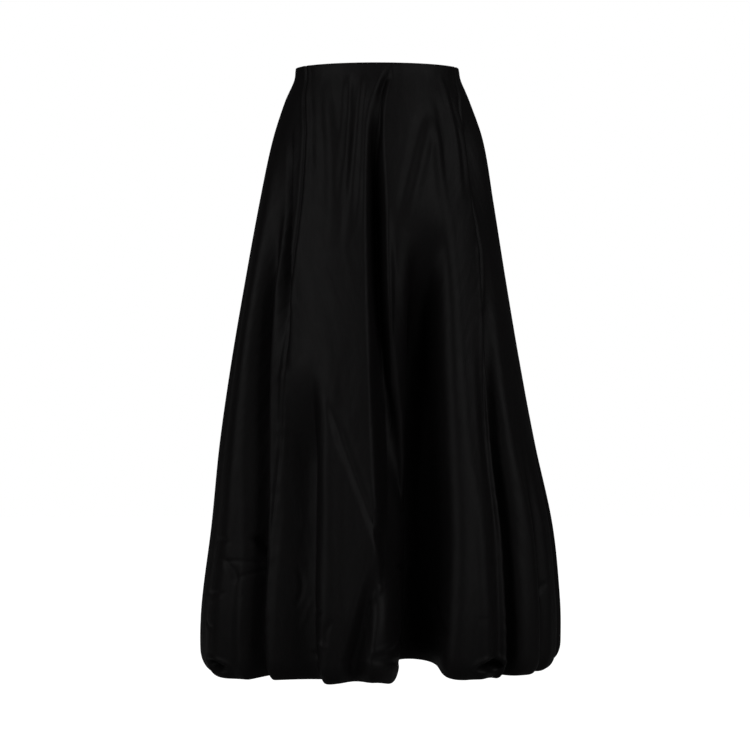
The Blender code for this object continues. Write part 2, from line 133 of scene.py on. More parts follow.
# Creases too fine for the solids: each runs past three places, as angle and height
creases = {
    "parts": 12,                   # straight parts that a crease's curve is measured along
    "endShare": 0.3,               # share of its length over which each end fades
    "endDepth": 0.15,              # share of its depth that is left there
    "endCut": 8.0,                 # how sharply it then stops
    "columns": ("a1", "h1", "a2", "h2", "a3", "h3", "width", "depth", "sharp"),
    "rows": (
        # from the waist
        (-49.0, -0.031, -38.4, -0.100, -34.3, -0.190, 0.010, 0.0014, 0.0),
        (-36.3, -0.025, -24.5, -0.131, -21.0, -0.290, 0.015, -0.0030, 0.0),
        (-20.0, -0.016, -16.6, -0.085, -17.6, -0.220, 0.012, 0.0050, 0.0),
        (-10.5, -0.018, -10.6, -0.100, -13.6, -0.290, 0.010, -0.0036, 0.0),
        (-7.1, -0.020, -8.1, -0.132, -9.0, -0.260, 0.008, 0.0016, 0.0),
        (14.3, -0.010, -2.8, -0.048, -6.4, -0.150, 0.009, -0.0026, 0.0),
        (11.0, -0.014, 2.2, -0.056, -1.1, -0.180, 0.010, 0.0088, 0.0),
        (29.6, -0.063, 20.5, -0.125, 11.5, -0.225, 0.014, 0.0024, 0.0),
        (33.0, -0.080, 22.5, -0.150, 13.0, -0.260, 0.016, -0.0032, 0.0),
        (33.1, -0.078, 32.9, -0.140, 34.2, -0.240, 0.012, -0.0022, 0.0),
        (38.3, -0.045, 38.7, -0.105, 37.6, -0.190, 0.014, 0.0020, 0.0),
        (48.5, -0.012, 47.5, -0.090, 45.0, -0.220, 0.010, -0.0022, 0.0),
        (50.0, -0.035, 49.6, -0.099, 48.5, -0.200, 0.008, 0.0018, 0.0),
        (48.9, -0.068, 50.6, -0.091, 51.9, -0.115, 0.004, -0.0010, 0.5),
        (88.0, -0.030, 84.0, -0.120, 80.0, -0.240, 0.012, 0.0030, 0.0),
        (101.0, -0.020, 104.0, -0.100, 108.0, -0.210, 0.014, -0.0032, 0.0),
        (118.0, -0.015, 121.0, -0.090, 122.0, -0.190, 0.012, 0.0036, 0.0),
        (136.0, -0.020, 133.0, -0.120, 131.0, -0.280, 0.013, -0.0034, 0.0),
        (152.0, -0.025, 148.0, -0.100, 143.0, -0.200, 0.010, 0.0026, 0.0),
        (168.0, -0.030, 166.0, -0.130, 164.0, -0.260, 0.012, -0.0030, 0.0),
        (192.0, -0.020, 195.0, -0.110, 199.0, -0.230, 0.012, 0.0030, 0.0),
        (207.0, -0.030, 205.0, -0.120, 206.0, -0.270, 0.014, -0.0034, 0.0),
        (222.0, -0.015, 226.0, -0.090, 229.0, -0.180, 0.011, 0.0032, 0.0),
        (243.0, -0.020, 240.0, -0.120, 236.0, -0.240, 0.013, -0.0028, 0.0),
        (259.0, -0.030, 263.0, -0.110, 266.0, -0.220, 0.012, 0.0030, 0.0),
        # across the sides and the back
        (95.0, -0.520, 104.0, -0.600, 112.0, -0.660, 0.012, 0.0040, 0.5),
        (128.0, -0.430, 138.0, -0.530, 149.0, -0.630, 0.015, 0.0052, 0.6),
        (130.0, -0.447, 140.0, -0.544, 150.0, -0.640, 0.004, -0.0010, 0.5),
        (214.0, -0.500, 205.0, -0.600, 198.0, -0.690, 0.013, 0.0046, 0.5),
        (252.0, -0.360, 258.0, -0.460, 262.0, -0.570, 0.014, 0.0044, 0.4),
        # the long crease across the front
        (-20.4, -0.470, -7.3, -0.608, 5.2, -0.748, 0.016, 0.0062, 0.6),
        (-22.4, -0.474, -9.5, -0.612, 2.8, -0.752, 0.004, -0.0012, 0.5),
        # beside the middle fold
        (4.6, -0.470, 5.6, -0.575, 8.0, -0.680, 0.014, 0.0085, 0.0),
        # above the hem
        (1.6, -0.764, -0.4, -0.778, -2.6, -0.794, 0.006, -0.0020, 0.3),
        (-74.0, -0.790, -65.0, -0.786, -56.0, -0.783, 0.005, 0.0028, 0.6),
        (-73.0, -0.799, -65.0, -0.796, -57.0, -0.793, 0.005, -0.0012, 0.3),
        (-66.4, -0.739, -54.0, -0.736, -44.8, -0.741, 0.004, 0.0016, 1.0),
        (-69.0, -0.716, -62.5, -0.706, -56.5, -0.712, 0.007, 0.0028, 0.5),
        (-61.0, -0.722, -55.5, -0.748, -53.0, -0.772, 0.006, 0.0028, 0.6),
        (-72.0, -0.826, -66.0, -0.834, -60.5, -0.832, 0.006, 0.0024, 0.5),
        (-43.8, -0.744, -49.5, -0.753, -55.8, -0.768, 0.005, 0.0018, 0.8),
        (-50.5, -0.698, -47.0, -0.720, -43.5, -0.752, 0.010, 0.0080, 0.5),
        (-31.4, -0.740, -28.9, -0.770, -30.8, -0.802, 0.007, 0.0018, 0.4),
        (-24.8, -0.785, -26.6, -0.808, -28.4, -0.832, 0.005, -0.0011, 0.4),
        (-20.4, -0.852, -18.0, -0.874, -15.0, -0.902, 0.004, -0.0018, 0.4),
        (-23.0, -0.798, -20.0, -0.806, -16.5, -0.802, 0.006, 0.0032, 0.4),
        (-22.0, -0.834, -18.5, -0.845, -15.0, -0.857, 0.006, -0.0028, 0.4),
        (-24.5, -0.860, -21.5, -0.872, -19.0, -0.887, 0.006, 0.0024, 0.5),
        (-13.5, -0.812, -15.5, -0.834, -15.0, -0.860, 0.007, 0.0032, 0.3),
        (4.0, -0.741, 5.0, -0.745, 6.0, -0.752, 0.006, 0.0040, 0.2),
        (7.4, -0.832, 3.4, -0.857, -2.5, -0.870, 0.008, 0.0024, 0.6),
        (-2.5, -0.870, 2.2, -0.876, 7.4, -0.888, 0.008, 0.0020, 0.6),
        (6.4, -0.828, 2.0, -0.851, -2.0, -0.862, 0.005, -0.0012, 0.4),
        (19.0, -0.790, 21.8, -0.820, 24.0, -0.843, 0.012, 0.0060, 0.3),
        (18.2, -0.846, 21.4, -0.845, 24.6, -0.847, 0.003, -0.0018, 0.6),
        (29.5, -0.813, 34.0, -0.815, 38.8, -0.816, 0.003, 0.0008, 0.6),
        (31.0, -0.819, 35.0, -0.820, 38.0, -0.820, 0.003, 0.0006, 0.6),
        (67.0, -0.768, 64.5, -0.780, 62.4, -0.793, 0.006, 0.0030, 0.4),
        (92.0, -0.800, 99.0, -0.790, 107.0, -0.785, 0.006, 0.0026, 0.5),
        (115.0, -0.742, 121.0, -0.752, 128.0, -0.768, 0.006, 0.0024, 0.6),
        (138.0, -0.830, 142.0, -0.850, 147.0, -0.868, 0.006, 0.0030, 0.6),
        (158.0, -0.800, 162.0, -0.825, 163.0, -0.850, 0.008, 0.0040, 0.3),
        (175.0, -0.770, 172.0, -0.790, 170.0, -0.815, 0.006, 0.0028, 0.4),
        (185.0, -0.845, 190.0, -0.850, 196.0, -0.860, 0.005, 0.0024, 0.6),
        (203.0, -0.780, 209.0, -0.775, 216.0, -0.780, 0.006, 0.0026, 0.5),
        (222.0, -0.820, 227.0, -0.840, 230.0, -0.865, 0.008, 0.0040, 0.4),
        (243.0, -0.795, 249.0, -0.790, 256.0, -0.790, 0.005, 0.0022, 0.7),
        (262.0, -0.750, 266.0, -0.770, 268.0, -0.795, 0.008, 0.0036, 0.4),
        (272.0, -0.830, 277.0, -0.845, 281.0, -0.850, 0.006, 0.0028, 0.5),
    ),
}

# Places where the hem is tucked up under itself: sizes in metres of cloth
pockets = {
    "lipAt": 1.12,                 # the lip stands just outside the hollow's edge
    "lipWidth": 0.16,
    "lipStart": 0.3,
    "columns": ("angle", "height", "left", "right", "above", "below", "slant",
                "depth", "rim", "lip"),
    "rows": (
        (-62, -0.893, 0.030, 0.025, 0.013, 0.011, -0.05, 0.018, 0.50, 0.0020),
        (38.5, -0.887, 0.034, 0.019, 0.015, 0.007, 0.05, 0.022, 0.55, 0.0018),
        (134, -0.875, 0.028, 0.020, 0.012, 0.009, 0.05, 0.013, 0.45, 0.0015),
        (231, -0.876, 0.022, 0.030, 0.012, 0.009, -0.05, 0.014, 0.45, 0.0016),
    ),
}


def smoothStep(value):
    value = np.clip(value, 0.0, 1.0)
    return value * value * (3.0 - 2.0 * value)


# A soft swelling round a place: 1 at its middle, nothing far away
def swelling(distance, width):
    return np.exp(-(distance / width) ** 2)


# An angle within half a turn of the front
def wrapped(angle):
    return (angle + 180.0) % 360.0 - 180.0


# A named column's value, on a smooth curve through rows whose first column falls
def readTable(rows, columns, column, place):
    places = np.array([row[0] for row in rows], float)
    values = np.array([row[columns.index(column)] for row in rows], float)
    last = len(rows) - 1
    before = np.maximum(np.arange(last + 1) - 1, 0)
    after = np.minimum(np.arange(last + 1) + 1, last)
    slopes = (values[after] - values[before]) / (places[after] - places[before])
    place = np.clip(place, places[-1], places[0])
    low = np.clip(np.searchsorted(-places, -place, side="left") - 1, 0, last - 1)
    span = places[low + 1] - places[low]
    t = (place - places[low]) / span
    rise = values[low + 1] - values[low]
    start, finish = slopes[low] * span, slopes[low + 1] * span
    bend = start + finish - 2.0 * rise
    return values[low] + t * (start + t * (3.0 * rise - 2.0 * start - finish + t * bend))


# Value at a place between three others, on a parabola through them
def throughThree(places, values, at):
    (a, b, c), (p, q, r) = places, values
    return (p * (at - b) * (at - c) / ((a - b) * (a - c))
            + q * (at - a) * (at - c) / ((b - a) * (b - c))
            + r * (at - a) * (at - b) / ((c - a) * (c - b)))


def foldLine(fold, height):
    heights = form["pathHeights"]
    angles = (fold["high"], fold["mid"], fold["low"])
    return throughThree(heights, angles, np.clip(height, heights[2], 0.0))


# How much of its full depth a fold has at a height
def foldGrowth(fold, height):
    grown = smoothStep((fold["top"] - height) / (fold["top"] - fold["deep"]))
    if fold["end"] > form["toHem"]:
        faded = smoothStep((fold["deep"] - height) / (fold["deep"] - fold["end"]))
        grown = grown * (1.0 - faded)
    return grown


# What the folds do at each place: their depth, the hem's lift, the slide along the cloth
# and the turns of the way in and of the hem's way under
def foldEffect(angle, height):
    effect = {name: np.zeros_like(angle) for name in ("depth", "lift", "slide", "aim", "under")}
    for fold in form["folds"]:
        away = wrapped(angle - foldLine(fold, height))
        grown = foldGrowth(fold, height)
        faded = np.minimum(abs(away) / form["aimReach"], 1.0)
        width = np.where(away > 0.0, fold["right"], fold["left"])
        place = np.clip(away / width, -1.0, 1.0)
        share = grown * np.cos(place * pi / 2.0) ** 2
        effect["aim"] += fold["aim"] * np.cos(faded * pi / 2.0) ** 2
        effect["depth"] += share * fold["depth"]
        effect["lift"] += share * fold["lift"]
        effect["slide"] += grown * fold["curl"] * width * np.sin(2.0 * pi * place) / (2.0 * pi)
        effect["under"] -= grown * form["underSpread"] * fold["depth"] * np.sin(pi * place)
    return effect


# Half size of the plain oval on one side, at a height
def section(side, height):
    return readTable(form["sections"], form["sectionColumns"], side, height)


# Metres of cloth to each degree round the skirt
def degreeLength(angle, height):
    height, turn = np.array(height), radians(angle)
    return radians(1.0) * np.hypot(section("right", height) * cos(turn),
                                   section("front", height) * sin(turn))


def wallPoint(angle, height):
    effect = foldEffect(angle, height)
    turn = np.radians(angle + effect["slide"])
    across = np.where(np.sin(turn) > 0.0, section("right", height), section("left", height))
    along = np.where(np.cos(turn) > 0.0, section("front", height), section("back", height))
    inward = np.radians(angle + effect["aim"])
    return np.stack((across * np.sin(turn) - np.sin(inward) * effect["depth"],
                     -along * np.cos(turn) + np.cos(inward) * effect["depth"], height), axis=-1)


def hemHeight(angle):
    plain = readTable(form["hemLine"], form["hemColumns"], "height", wrapped(angle))
    return plain + foldEffect(angle, np.full_like(angle, form["hemMiddle"]))["lift"]


def seamAngle(name, height):
    if name in ("left", "right"):
        return readTable(form["seams"], form["seamColumns"], name, height)
    return np.full_like(height, 180.0 if name == "centreBack" else -180.0)


# Length of the cloth along each row or column of a grid of points
def clothLength(points, axis):
    steps = np.linalg.norm(np.diff(points, axis=axis), axis=-1)
    start = np.zeros_like(np.take(steps, [0], axis=axis))
    return np.concatenate((start, np.cumsum(steps, axis=axis)), axis=axis)


# Distance from places to a crease, in metres of cloth, and how far along it they lie
def nearCrease(crease, angle, drop):
    parts, halves = creases["parts"], (0.0, 0.5, 1.0)
    t = np.linspace(0.0, 1.0, parts + 1)
    angles = throughThree(halves, (crease["a1"], crease["a2"], crease["a3"]), t)
    drops = throughThree(halves, (crease["h1"], crease["h2"], crease["h3"]), t)
    metre = degreeLength(crease["a2"], crease["h2"])
    x = wrapped(angle - crease["a2"]) * metre
    best, part = np.full(angle.shape, np.inf), np.zeros(angle.shape)
    for i in range(parts):
        ax, az = (angles[i] - crease["a2"]) * metre, drops[i]
        bx, bz = (angles[i + 1] - crease["a2"]) * metre, drops[i + 1]
        square = (bx - ax) ** 2 + (bz - az) ** 2
        k = np.clip(((x - ax) * (bx - ax) + (drop - az) * (bz - az)) / square, 0.0, 1.0)
        distance = np.hypot(x - ax - k * (bx - ax), drop - az - k * (bz - az))
        nearer = distance < best
        best = np.where(nearer, distance, best)
        part = np.where(nearer, (i + k) / parts, part)
    return best, part


# How far the creases move the cloth out from its form
def creaseRelief(angle, drop):
    relief = np.zeros_like(angle)
    fade, least, cut = creases["endShare"], creases["endDepth"], creases["endCut"]
    for row in creases["rows"]:
        crease = dict(zip(creases["columns"], row))
        distance, part = nearCrease(crease, angle, drop)
        place = np.clip(distance / crease["width"], 0.0, 1.0)
        soft, sharp = np.cos(place * pi / 2.0) ** 2, (1.0 - place) ** 2
        profile = soft + (sharp - soft) * crease["sharp"]
        ends = smoothStep(part / fade) * smoothStep((1.0 - part) / fade)
        strength = (least + (1.0 - least) * ends) * smoothStep(ends * cut)
        relief -= crease["depth"] * profile * strength
    return relief


# The hem's tucked places: an arched lip over a dark hollow
def pocketRelief(angle, drop):
    relief = np.zeros_like(angle)
    for row in pockets["rows"]:
        pocket = dict(zip(pockets["columns"], row))
        x = wrapped(angle - pocket["angle"]) * degreeLength(pocket["angle"], pocket["height"])
        z = drop - pocket["height"] - pocket["slant"] * x
        wide = np.where(x > 0.0, pocket["right"], pocket["left"])
        tall = np.where(z > 0.0, pocket["above"], pocket["below"])
        reach = np.hypot(x / wide, z / tall)
        relief -= pocket["depth"] * smoothStep((1.0 - reach) / pocket["rim"])
        relief += (pocket["lip"] * swelling(reach - pockets["lipAt"], pockets["lipWidth"])
                   * smoothStep(z / tall + pockets["lipStart"]))
    return relief


# The sewn seams draw the cloth in, and more so where the centre back one holds the zip
seams = {
    "grooveDepth": 0.0011,
    "grooveWidth": 0.0024,
    "fadeFrom": -0.30,             # lower down the seams lie looser
    "fadeOver": 0.15,
    "fadeShare": 0.85,
    "allowanceAt": 0.0052,         # the pressed allowances show as a faint swelling
    "allowanceWidth": 0.0030,
    "allowanceRise": 0.0008,
    "puckerDepth": 0.0005,
    "puckerAt": 0.0040,
    "puckerWidth": 0.0080,
    "puckerLengths": (0.031, 0.17, 0.093),   # of the ripple, its drift and its swell
    "puckerMean": 0.55,
    "zipDepth": 0.0012,
    "zipEnd": -0.205,
    "zipFade": 0.010,
    "slopeStep": 0.004,            # the seam's slope at the zip is read over so much height
}


# Where the centre back seam holds the zip: 1 beside it, 0 below it
def concealedShare(drop):
    return smoothStep((drop - seams["zipEnd"]) / seams["zipFade"])


def seamRelief(distance, drop, concealed):
    loose = seams["fadeShare"] * smoothStep((seams["fadeFrom"] - drop) / seams["fadeOver"])
    depth = seams["grooveDepth"] * (1.0 - loose) + seams["zipDepth"] * concealed
    first, drift, swell = (drop * 2.0 * pi / length for length in seams["puckerLengths"])
    mean = seams["puckerMean"]
    ripple = np.sin(first + 2.0 * np.sin(drift)) * (mean + (1.0 - mean) * np.sin(swell + 1.0))
    allowance = swelling(distance - seams["allowanceAt"], seams["allowanceWidth"])
    pucker = swelling(distance - seams["puckerAt"], seams["puckerWidth"])
    return (-depth * swelling(distance, seams["grooveWidth"])
            + seams["allowanceRise"] * allowance + seams["puckerDepth"] * ripple * pucker)


# A flat grid laid on rows of points from the top down, with its cloth map in metres
def layGrid(points, clothMap):
    rows, columns = points.shape[0] - 1, points.shape[1] - 1
    grid = bmesh.new()
    bmesh.ops.create_grid(grid, x_segments=columns, y_segments=rows, size=0.5)
    uvLayer = grid.loops.layers.uv.new("cloth")
    places = {}
    for vertex in grid.verts:
        column, row = round((vertex.co.x + 0.5) * columns), round((0.5 - vertex.co.y) * rows)
        places[vertex] = clothMap[row, column]
        vertex.co = points[row, column]
    for face in grid.faces:
        for loop in face.loops:
            loop[uvLayer].uv = places[loop.vert]
    return grid


def addPiece(name, shape, material):
    mesh = bpy.data.meshes.new(name)
    shape.to_mesh(mesh)
    shape.free()
    mesh.shade_smooth()
    piece = bpy.data.objects.new(name, mesh)
    bpy.context.scene.collection.objects.link(piece)
    piece.data.materials.append(material)
    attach(piece, "skirt")
    return piece


# Looks: the weave lies on each piece's own cloth map, and the heights are in millimetres
finish = {
    "satin": {"dark": (0.0034, 0.0030, 0.0032, 1.0), "light": (0.0056, 0.0050, 0.0053, 1.0),
              "specular": 0.12, "rough": 0.57, "thread": 0.00028, "overThreads": 5.0,
              "relief": 0.014, "slub": 1.0, "pucker": 1.0},
    "satinReverse": {"dark": (0.0036, 0.0033, 0.0035, 1.0), "light": (0.0062, 0.0057, 0.0060, 1.0),
                     "specular": 0.09, "rough": 0.64, "thread": 0.00032, "overThreads": 1.5,
                     "relief": 0.020, "slub": 0.7, "pucker": 0.8},
    "zipTape": {"dark": (0.0060, 0.0058, 0.0060, 1.0), "light": (0.0110, 0.0105, 0.0108, 1.0),
                "specular": 0.16, "rough": 0.72, "thread": 0.00045, "overThreads": 1.0,
                "relief": 0.050, "slub": 0.4, "pucker": 0.0},
    "coilNylon": {"dark": (0.0070, 0.0068, 0.0072, 1.0), "light": (0.0120, 0.0118, 0.0122, 1.0),
                  "rough": 0.30, "roughSpread": 0.20, "relief": 0.012,
                  "grain": (900.0, 4200.0, 4200.0)},
    "thread": {"dark": (0.0060, 0.0058, 0.0060, 1.0), "light": (0.0150, 0.0145, 0.0150, 1.0),
               "rough": 0.55, "roughSpread": 0.20, "relief": 0.030,
               "grain": (5200.0, 5200.0, 1800.0)},
    "enamel": {"dark": (0.0062, 0.0061, 0.0063, 1.0), "light": (0.115, 0.108, 0.100, 1.0),
               "rough": 0.30, "relief": 0.006, "rubbed": 0.6, "rubbedDepth": -0.004,
               "skinRough": 0.10, "patchRough": 0.08,
               "lines": ((5200.0, 5200.0, 420.0), 0.60, 0.68),
               "patches": ((420.0, 420.0, 420.0), 0.46, 0.62),
               "skin": ((2600.0, 2600.0, 2600.0), 0.30, 0.70)},
}
# The weave's parts: grains to a metre of cloth across and down, and what each part gives
weaveParts = {
    "floatStep": 0.4,              # each warp thread's floats start so much lower
    "floatEdge": 3.0,
    "floatRise": 0.5,
    "slubGrains": (1300.0, 45.0, 2.0),
    "puckerGrains": (74.0, 30.0, 3.0),
    "waveGrains": (21.0, 6.0, 2.0),
    "heights": {"slub": 0.022, "pucker": 0.55, "wave": 2.4},
    "roughness": {"slub": 0.08, "pucker": 0.10, "thread": -0.03},
    "shades": {"thread": 0.6, "slub": 0.7, "wave": 0.9},
}


def makeNodes(name):
    material = bpy.data.materials.new(name)
    material.use_nodes = True
    return material, material.node_tree, material.node_tree.nodes["Principled BSDF"]


# A sum in a node tree; each of its terms is a number or another node's output
def addMath(tree, operation, *terms):
    node = tree.nodes.new("ShaderNodeMath")
    node.operation = operation
    for socket, term in zip(node.inputs, terms):
        if isinstance(term, (int, float)):
            socket.default_value = term
        else:
            tree.links.new(term, socket)
    return node.outputs["Value"]


# Noise drawn out along the cloth: so many grains to a metre across it and down it
def addNoise(tree, place, acrossGrains, downGrains, detail):
    stretch = tree.nodes.new("ShaderNodeVectorMath")
    stretch.operation = "MULTIPLY"
    stretch.inputs[1].default_value = (acrossGrains, downGrains, 1.0)
    tree.links.new(place, stretch.inputs[0])
    noise = tree.nodes.new("ShaderNodeTexNoise")
    noise.noise_dimensions = "2D"
    noise.inputs["Scale"].default_value = 1.0
    noise.inputs["Detail"].default_value = detail
    tree.links.new(stretch.outputs["Vector"], noise.inputs["Vector"])
    return addMath(tree, "SUBTRACT", noise.outputs["Fac"], 0.5)


# Noise in a solid piece, at so many grains to a metre each way
def addGrain(tree, size, detail):
    stretch = tree.nodes.new("ShaderNodeMapping")
    stretch.inputs["Scale"].default_value = size
    noise = tree.nodes.new("ShaderNodeTexNoise")
    noise.inputs["Scale"].default_value = 1.0
    noise.inputs["Detail"].default_value = detail
    place = tree.nodes.new("ShaderNodeTexCoord").outputs["Object"]
    tree.links.new(place, stretch.inputs["Vector"])
    tree.links.new(stretch.outputs["Vector"], noise.inputs["Vector"])
    return noise.outputs["Fac"]


# Two dyes mixed by one output, and the surface raised by another, in millimetres
def addSurface(tree, shader, look, share, height):
    dye = tree.nodes.new("ShaderNodeMix")
    dye.data_type = "RGBA"
    dye.inputs["A"].default_value = look["dark"]
    dye.inputs["B"].default_value = look["light"]
    bump = tree.nodes.new("ShaderNodeBump")
    bump.inputs["Distance"].default_value = 0.001
    tree.links.new(share, dye.inputs["Factor"])
    tree.links.new(dye.outputs["Result"], shader.inputs["Base Color"])
    tree.links.new(height, bump.inputs["Height"])
    tree.links.new(bump.outputs["Normal"], shader.inputs["Normal"])


# Warp threads that float over several others, with slubs, small puckers and slow waves
def makeWeave():
    weave = bpy.data.node_groups.new("threadWeave", "ShaderNodeTree")
    weave.interface.new_socket("Cloth", in_out="INPUT", socket_type="NodeSocketVector")
    for label in ("Thread", "Over Threads", "Relief", "Slub", "Pucker", "Rough"):
        weave.interface.new_socket(label, in_out="INPUT", socket_type="NodeSocketFloat")
    for label in ("Shade", "Roughness", "Height"):
        weave.interface.new_socket(label, in_out="OUTPUT", socket_type="NodeSocketFloat")
    given = weave.nodes.new("NodeGroupInput").outputs
    made = weave.nodes.new("NodeGroupOutput").inputs
    place = weave.nodes.new("ShaderNodeSeparateXYZ")
    weave.links.new(given["Cloth"], place.inputs["Vector"])

    def math(operation, *terms):
        return addMath(weave, operation, *terms)

    def wavesOf(turns):
        return math("ABSOLUTE", math("SINE", math("MULTIPLY", turns, pi)))

    across = math("DIVIDE", place.outputs["X"], given["Thread"])
    down = math("DIVIDE", place.outputs["Y"], given["Thread"])
    down = math("DIVIDE", down, given["Over Threads"])
    step = math("MULTIPLY", math("FLOOR", across), weaveParts["floatStep"])
    over = math("MULTIPLY", wavesOf(math("ADD", down, step)), weaveParts["floatEdge"])
    rise = weaveParts["floatRise"]
    floats = math("MULTIPLY_ADD", math("MINIMUM", over, 1.0), rise, 1.0 - rise)
    parts = {"thread": math("MULTIPLY", wavesOf(across), floats)}
    for part, grains, amount in (("slub", "slubGrains", "Slub"),
                                 ("pucker", "puckerGrains", "Pucker"),
                                 ("wave", "waveGrains", "Pucker")):
        noise = addNoise(weave, given["Cloth"], *weaveParts[grains])
        parts[part] = math("MULTIPLY", noise, given[amount])

    def summed(total, shares):
        for part, share in shares.items():
            total = math("MULTIPLY_ADD", parts[part], share, total)
        return total

    height = math("MULTIPLY", parts["thread"], given["Relief"])
    weave.links.new(summed(0.0, weaveParts["shades"]), made["Shade"])
    weave.links.new(summed(given["Rough"], weaveParts["roughness"]), made["Roughness"])
    weave.links.new(summed(height, weaveParts["heights"]), made["Height"])
    return weave


threadWeave = makeWeave()


def makeCloth(name, look):
    material, tree, shader = makeNodes(name)
    clothMap = tree.nodes.new("ShaderNodeUVMap")
    clothMap.uv_map = "cloth"
    weave = tree.nodes.new("ShaderNodeGroup")
    weave.node_tree = threadWeave
    for label, key in (("Thread", "thread"), ("Over Threads", "overThreads"), ("Relief", "relief"),
                       ("Slub", "slub"), ("Pucker", "pucker"), ("Rough", "rough")):
        weave.inputs[label].default_value = look[key]
    tree.links.new(clothMap.outputs["UV"], weave.inputs["Cloth"])
    addSurface(tree, shader, look, weave.outputs["Shade"], weave.outputs["Height"])
    tree.links.new(weave.outputs["Roughness"], shader.inputs["Roughness"])
    shader.inputs["Specular IOR Level"].default_value = look["specular"]
    return material


# Black enamel over steel, rubbed through in fine lines where fingers take hold of it
def makeEnamel(name, look):
    material, tree, shader = makeNodes(name)

    def patchesOf(size, low, high):                # 0 below the low level, 1 above the high
        mask = tree.nodes.new("ShaderNodeMapRange")
        mask.inputs["From Min"].default_value = low
        mask.inputs["From Max"].default_value = high
        tree.links.new(addGrain(tree, size, detail=2.0), mask.inputs["Value"])
        return mask.outputs["Result"]

    lines, patches, skin = (patchesOf(*look[part]) for part in ("lines", "patches", "skin"))
    worn = addMath(tree, "MULTIPLY", lines, patches)
    height = addMath(tree, "MULTIPLY", skin, look["relief"])
    height = addMath(tree, "MULTIPLY_ADD", worn, look["rubbedDepth"], height)
    addSurface(tree, shader, look, addMath(tree, "MULTIPLY", worn, look["rubbed"]), height)
    tree.links.new(worn, shader.inputs["Metallic"])
    rough = addMath(tree, "MULTIPLY_ADD", skin, look["skinRough"], look["rough"])
    rough = addMath(tree, "MULTIPLY_ADD", patches, look["patchRough"], rough)
    tree.links.new(rough, shader.inputs["Roughness"])
    return material


# Drawn nylon and spun thread: fine lines along the strand
def makeStrand(name, look):
    material, tree, shader = makeNodes(name)
    grain = addGrain(tree, look["grain"], detail=3.0)
    addSurface(tree, shader, look, grain, addMath(tree, "MULTIPLY", grain, look["relief"]))
    rough = addMath(tree, "MULTIPLY_ADD", grain, look["roughSpread"], look["rough"])
    tree.links.new(rough, shader.inputs["Roughness"])
    return material


satin = makeCloth("blackSatin", finish["satin"])
satinReverse = makeCloth("satinReverse", finish["satinReverse"])
tapeCloth = makeCloth("zipTapeCloth", finish["zipTape"])
zipMetal = makeEnamel("zipEnamel", finish["enamel"])
coilNylon = makeStrand("coilNylon", finish["coilNylon"])
thread = makeStrand("sewingThread", finish["thread"])
for name in ("zip_slider", "zip_pull"):
    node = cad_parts[name]
    if not node.material_slots:
        node.data.materials.append(zipMetal)
    for place in node.material_slots:
        place.material = zipMetal
print("materials made")


# Places at the centre back, so far beside its line and so far inside the wall's middle
# face, which the seam draws in; with the ways out of the cloth and up it
def behindZip(beside, height, inside):
    beside, height = np.broadcast_arrays(np.asarray(beside, float), np.asarray(height, float))
    angle = 180.0 - np.degrees(beside / section("right", height))
    here = wallPoint(angle, height)
    down = wallPoint(angle, height - seams["slopeStep"]) - here
    inward = np.cross(down, wallPoint(angle - 1.0, height) - here)
    inward /= np.linalg.norm(inward, axis=-1, keepdims=True)
    inward *= np.where(inward[..., 1:2] > 0.0, -1.0, 1.0)
    up = -down / np.linalg.norm(down, axis=-1, keepdims=True)
    drawnIn = -seamRelief(abs(beside), height, concealedShare(height))
    return here + inward * (inside + drawnIn)[..., None], -inward, up


# The zip's hidden half starts with two woven tapes inside the cloth
tapes = {
    "top": -0.0035,
    "bottom": -0.2200,
    "inner": 0.0006,               # from the centre line to the tape's near edge
    "wide": 0.0125,
    "thick": 0.00045,
    "inside": 0.0012,              # from the wall's middle face to the tape's
    "rows": 72,
    "columns": 6,
}


def makeTape(name, side):
    beside = tapes["inner"] + tapes["wide"] * np.linspace(0.0, 1.0, tapes["columns"] + 1)[None, :]
    height = np.linspace(tapes["top"], tapes["bottom"], tapes["rows"] + 1)[:, None]
    points = behindZip(side * beside, height, tapes["inside"])[0]
    tape = layGrid(points, np.stack(np.broadcast_arrays(beside, height), axis=-1))
    if side > 0.0:
        bmesh.ops.reverse_faces(tape, faces=tape.faces)
    piece = addPiece(name, tape, tapeCloth)
    thick = piece.modifiers.new("thickness", "SOLIDIFY")
    thick.thickness = tapes["thick"]
    thick.offset = 0.0


# Small rods set on the cloth's own ways: across it, out of it and up it
def addRods(shape, seats, size, sides, alongUp, turns):
    for place, outward, up, turn in zip(*seats, turns):
        rod = bmesh.ops.create_cone(shape, cap_ends=True, segments=sides, radius1=0.5,
                                    radius2=0.5, depth=1.0)["verts"]
        if not alongUp:
            quarter = Matrix.Rotation(pi / 2.0, 3, "Y")
            bmesh.ops.rotate(shape, cent=(0, 0, 0), matrix=quarter, verts=rod)
        bmesh.ops.scale(shape, vec=size, verts=rod)
        wayOut, wayUp = Vector(outward), Vector(up)
        ways = Matrix((wayOut.cross(wayUp), wayOut, wayUp)).transposed().to_4x4()
        seated = Matrix.Translation(place) @ ways @ Matrix.Rotation(turn, 4, "Y")
        bmesh.ops.transform(shape, matrix=seated, verts=rod)


coils = {
    "top": -0.0060,
    "bottom": -0.2050,
    "inside": 0.0021,
    "pitch": 0.00130,
    "size": (0.0030, 0.0011, 0.00085),
    "aside": 0.0005,               # the teeth stand by turns left and right of the line
    "tilt": 9.0,
    "sides": 8,
}


def makeCoil():
    coil = bmesh.new()
    height = np.arange(coils["top"], coils["bottom"], -coils["pitch"])
    side = np.where(np.arange(len(height)) % 2, 1.0, -1.0)
    seats = behindZip(side * coils["aside"], height, coils["inside"])
    addRods(coil, seats, coils["size"], coils["sides"], False, radians(coils["tilt"]) * side)
    addPiece("zipCoil", coil, coilNylon)


stops = {"size": (0.0046, 0.0022, 0.0034), "below": 0.0030, "round": 0.0005, "segments": 3}


